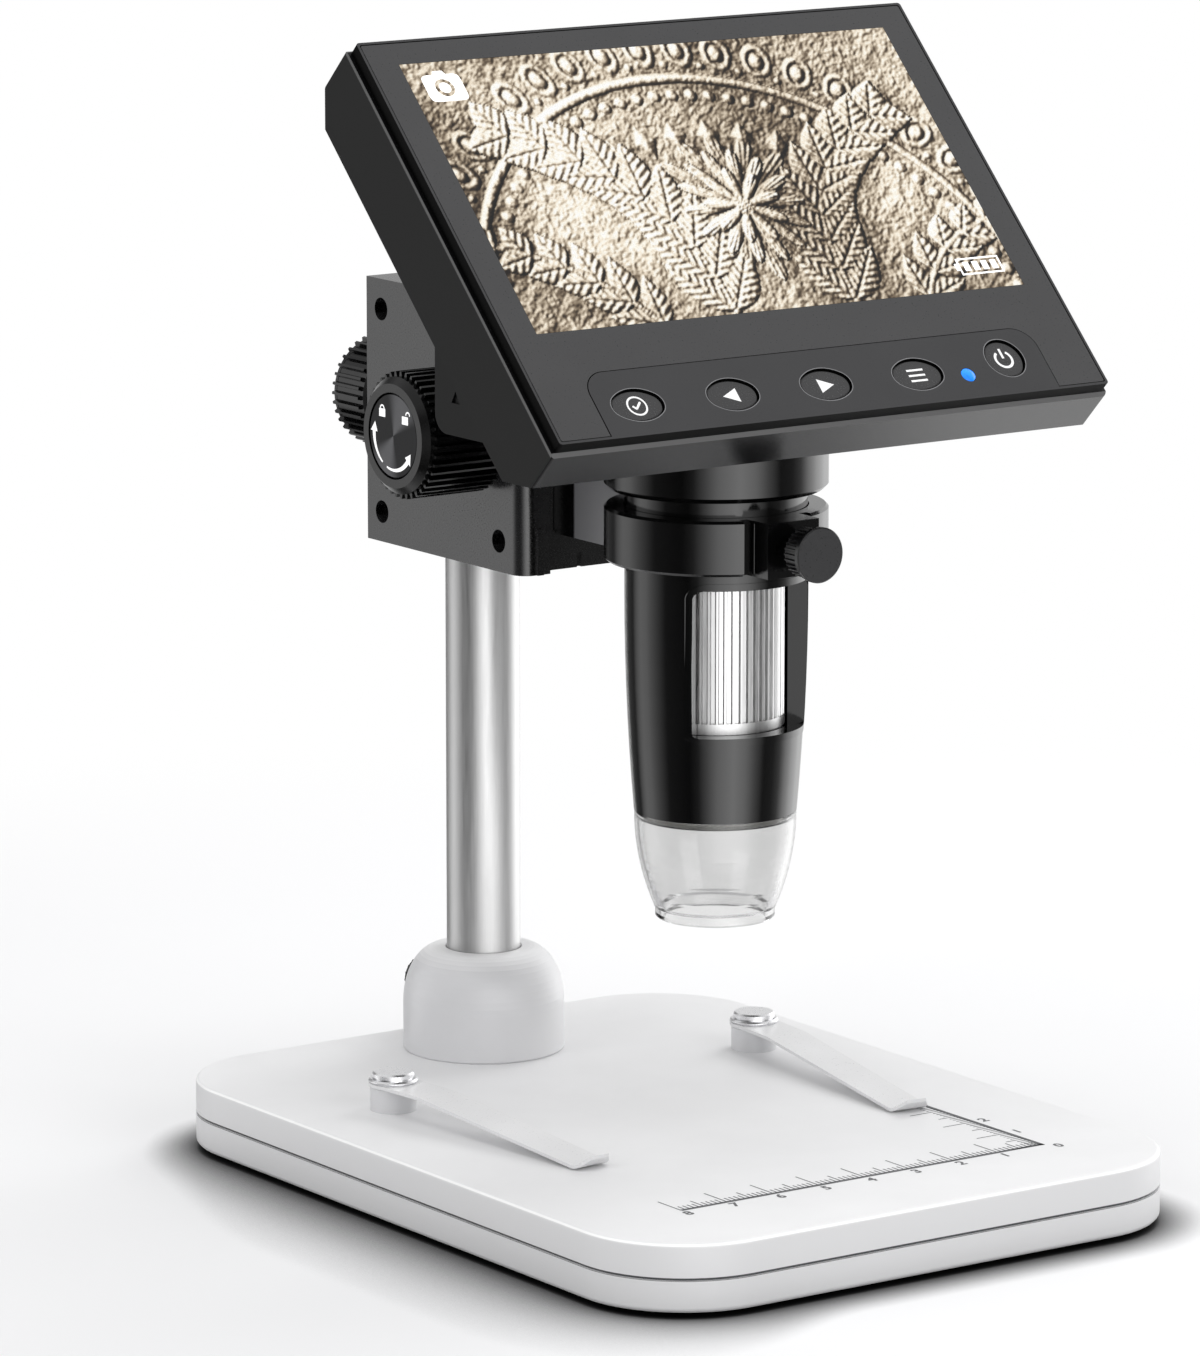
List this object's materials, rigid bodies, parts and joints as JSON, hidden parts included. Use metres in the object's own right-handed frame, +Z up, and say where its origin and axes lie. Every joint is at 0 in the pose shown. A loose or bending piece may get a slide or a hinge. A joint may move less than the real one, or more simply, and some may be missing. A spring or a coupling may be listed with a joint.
{
  "type": "digital microscope with screen",
  "caption": "Digital microscope with a tilted screen housing and downward scope, carried by a geared focus slide on a round column over a flat ruled base with stage clips.",
  "frame": {"origin": "under the middle of the base plate, in the plane that the rubber feet stand on", "axes": "+Z up along the column; +X towards the right-hand side for a user facing the screen; -Y towards that user, +Y towards the column"},
  "size_m": [0.122, 0.1779, 0.2126],
  "materials": {
    "white_plastic": "satin white moulded plastic",
    "steel": "plain zinc-plated steel",
    "foot_rubber": "soft matt rubber",
    "satin_aluminium": "satin anodised tube",
    "black_plastic": "glossy black moulded plastic",
    "black_screw_steel": "black oxide screws",
    "white_strip": "white coated spring strip",
    "polished_metal": "bright plated",
    "sleeve_plastic": "natural bearing plastic",
    "brass": "cut brass",
    "spun_disc": "dark spun disc with fine turning lines",
    "panel_plastic": "satin dark face sheet",
    "screen": "lit picture behind clear glass",
    "lcd_frame": "pressed tray",
    "circuit_board": "solder-masked board",
    "battery_foil": "foil pouch",
    "blue_light": "clear tip, lit blue",
    "button_plastic": "satin dark caps with pale marks",
    "black_metal": "black anodised",
    "lens_glass": "polished",
    "silver_wheel": "satin silver with ribs",
    "light_board_white": "white board",
    "light_leds": "small square lights",
    "clear_plastic": "clear moulded plastic"
  },
  "bodies": {
    "stand": {"base_top_cover": "white_plastic", "base_bottom_cover": "white_plastic", "base_steel_plate": "steel", "base_feet": "foot_rubber", "base_screws": "steel", "column_socket": "white_plastic", "column_bolt": "steel", "column_tube": "satin_aluminium", "column_cap": "black_plastic", "clip_left_post": "white_plastic", "clip_right_post": "white_plastic"},
    "column_lock": {"column_lock_screw": "black_plastic"},
    "clip_left": {"clip_left_strip": "white_strip", "clip_left_button": "polished_metal"},
    "clip_right": {"clip_right_strip": "white_strip", "clip_right_button": "polished_metal"},
    "sleeve": {"column_sleeve": "sleeve_plastic"},
    "carriage": {"carriage_left_half": "black_plastic", "carriage_right_half": "black_plastic", "carriage_screws": "black_screw_steel", "shaft_bushes": "brass"},
    "height_lock": {"height_lock_knob": "black_plastic"},
    "focus_drive": {"focus_shaft": "steel", "focus_pinion": "brass", "focus_knob": "black_plastic"},
    "focus_lock": {"focus_lock_knob": "black_plastic", "lock_knob_disc": "spun_disc"},
    "arm": {"scope_arm": "black_plastic", "focus_rack": "brass"},
    "ring_screw": {"ring_thumb_screw": "black_plastic"},
    "head": {"rear_housing": "black_plastic", "front_frame": "black_plastic", "front_panel": "panel_plastic", "screen_glass": "screen", "lcd_module": "lcd_frame", "main_board": "circuit_board", "battery": "battery_foil", "button_board": "circuit_board", "housing_screws": "steel", "usb_socket": "steel", "card_socket": "steel", "status_light": "blue_light", "neck_collar": "black_plastic", "scope_body": "black_plastic", "sensor_board": "circuit_board", "sensor_tube": "black_metal", "light_board": "light_board_white", "light_leds": "light_leds", "lens_hood": "clear_plastic"},
    "wheel": {"focus_wheel": "silver_wheel"},
    "lens": {"lens_barrel": "black_metal", "lens_elements": "lens_glass"},
    "ok_key": {"ok_button": "button_plastic"},
    "left_key": {"left_button": "button_plastic"},
    "right_key": {"right_button": "button_plastic"},
    "menu_key": {"menu_button": "button_plastic"},
    "power_key": {"power_button": "button_plastic"}
  },
  "joints": [
    {"name": "column_lock_turn", "type": "hinge", "parent": "stand", "child": "column_lock", "pos_m": [0, 0.079, 0.0228], "axis": [0, 1, 0], "range_deg": [0, 180]},
    {"name": "clip_left_swivel", "type": "hinge", "parent": "stand", "child": "clip_left", "pos_m": [-0.041, 0.0298, 0.018], "axis": [0, 0, 1], "range_deg": [-60, 60]},
    {"name": "clip_right_swivel", "type": "hinge", "parent": "stand", "child": "clip_right", "pos_m": [0.041, 0.0298, 0.018], "axis": [0, 0, 1], "range_deg": [-60, 60]},
    {"name": "carriage_height", "type": "slide", "parent": "stand", "child": "sleeve", "axis": [0, 0, 1], "range_m": [-0.03, 0.036]},
    {"name": "carriage_swivel", "type": "hinge", "parent": "sleeve", "child": "carriage", "pos_m": [0, 0.0607, 0.1354], "axis": [0, 0, 1], "continuous": true},
    {"name": "height_lock_turn", "type": "hinge", "parent": "carriage", "child": "height_lock", "pos_m": [0, 0.085, 0.1354], "axis": [0, 1, 0], "range_deg": [0, 180]},
    {"name": "focus_slide", "type": "slide", "parent": "carriage", "child": "arm", "axis": [0, 0, 1], "range_m": [0, 0.013]},
    {"name": "focus_spin", "type": "hinge", "parent": "carriage", "child": "focus_drive", "pos_m": [0, 0.0382, 0.1369], "axis": [1, 0, 0], "range_deg": [-156, 2]},
    {"name": "focus_lock_turn", "type": "hinge", "parent": "carriage", "child": "focus_lock", "pos_m": [-0.025, 0.0382, 0.1369], "axis": [1, 0, 0], "range_deg": [0, 180]},
    {"name": "scope_swivel", "type": "hinge", "parent": "arm", "child": "head", "pos_m": [0, -0.0142, 0.1235], "axis": [0, 0, 1], "range_deg": [-12, 12]},
    {"name": "ring_screw_turn", "type": "hinge", "parent": "arm", "child": "ring_screw", "pos_m": [0, -0.042, 0.1235], "axis": [0, 1, 0], "range_deg": [0, 180]},
    {"name": "lens_wheel_turn", "type": "hinge", "parent": "head", "child": "wheel", "pos_m": [0, -0.0142, 0.1018], "axis": [0, 0, 1], "range_deg": [-120, 120]},
    {"name": "lens_travel", "type": "slide", "parent": "head", "child": "lens", "axis": [0, 0, 1], "range_m": [-0.0021, 0.0021]},
    {"name": "ok_press", "type": "slide", "parent": "head", "child": "ok_key", "axis": [0, 0.7071, -0.7071], "range_m": [0, 0.0005], "stiffness_N_per_m": 1200, "springref_m": -0.0004},
    {"name": "left_press", "type": "slide", "parent": "head", "child": "left_key", "axis": [0, 0.7071, -0.7071], "range_m": [0, 0.0005], "stiffness_N_per_m": 1200, "springref_m": -0.0004},
    {"name": "right_press", "type": "slide", "parent": "head", "child": "right_key", "axis": [0, 0.7071, -0.7071], "range_m": [0, 0.0005], "stiffness_N_per_m": 1200, "springref_m": -0.0004},
    {"name": "menu_press", "type": "slide", "parent": "head", "child": "menu_key", "axis": [0, 0.7071, -0.7071], "range_m": [0, 0.0005], "stiffness_N_per_m": 1200, "springref_m": -0.0004},
    {"name": "power_press", "type": "slide", "parent": "head", "child": "power_key", "axis": [0, 0.7071, -0.7071], "range_m": [0, 0.0005], "stiffness_N_per_m": 1200, "springref_m": -0.0004}
  ],
  "couplings": [
    {"joint": "focus_spin", "follows": "focus_slide", "rad_per_m": -208.33},
    {"joint": "lens_travel", "follows": "lens_wheel_turn", "m_per_rad": 0.000955}
  ]
}
